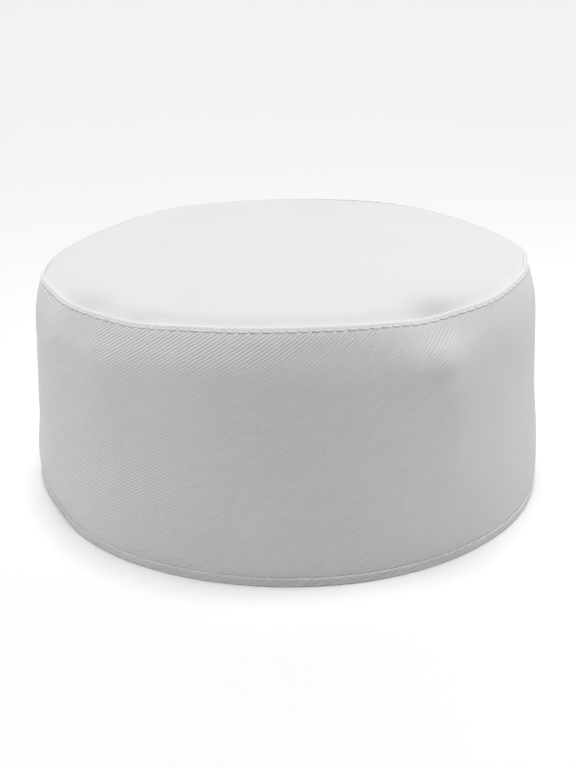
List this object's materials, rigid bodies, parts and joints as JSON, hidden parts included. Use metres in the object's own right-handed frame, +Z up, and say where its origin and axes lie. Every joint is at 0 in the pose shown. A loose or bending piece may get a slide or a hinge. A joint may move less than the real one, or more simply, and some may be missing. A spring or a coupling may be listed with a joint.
{
  "type": "prayer cap",
  "caption": "Round flat-topped cloth cap with an upright twill side band, a pinched and stitched seam round the top, a turned-up hem, and a hollow open below for the head.",
  "frame": {"origin": "middle of the plane that the hem stands on", "axes": "+Z up out of the flat top, -Y towards the front that the picture shows, +X to the right of someone who faces the front"},
  "size_m": [0.187, 0.1875, 0.0838],
  "materials": {
    "white_twill": "matt white cotton twill with diagonal wales, stiffened",
    "stitched_seam": "the same white twill folded double and edge-stitched with white thread"
  },
  "bodies": {
    "root": {"bottom_hem": "white_twill", "side_band": "white_twill", "top_seam_welt": "stitched_seam", "top_panel": "white_twill"}
  },
  "joints": []
}
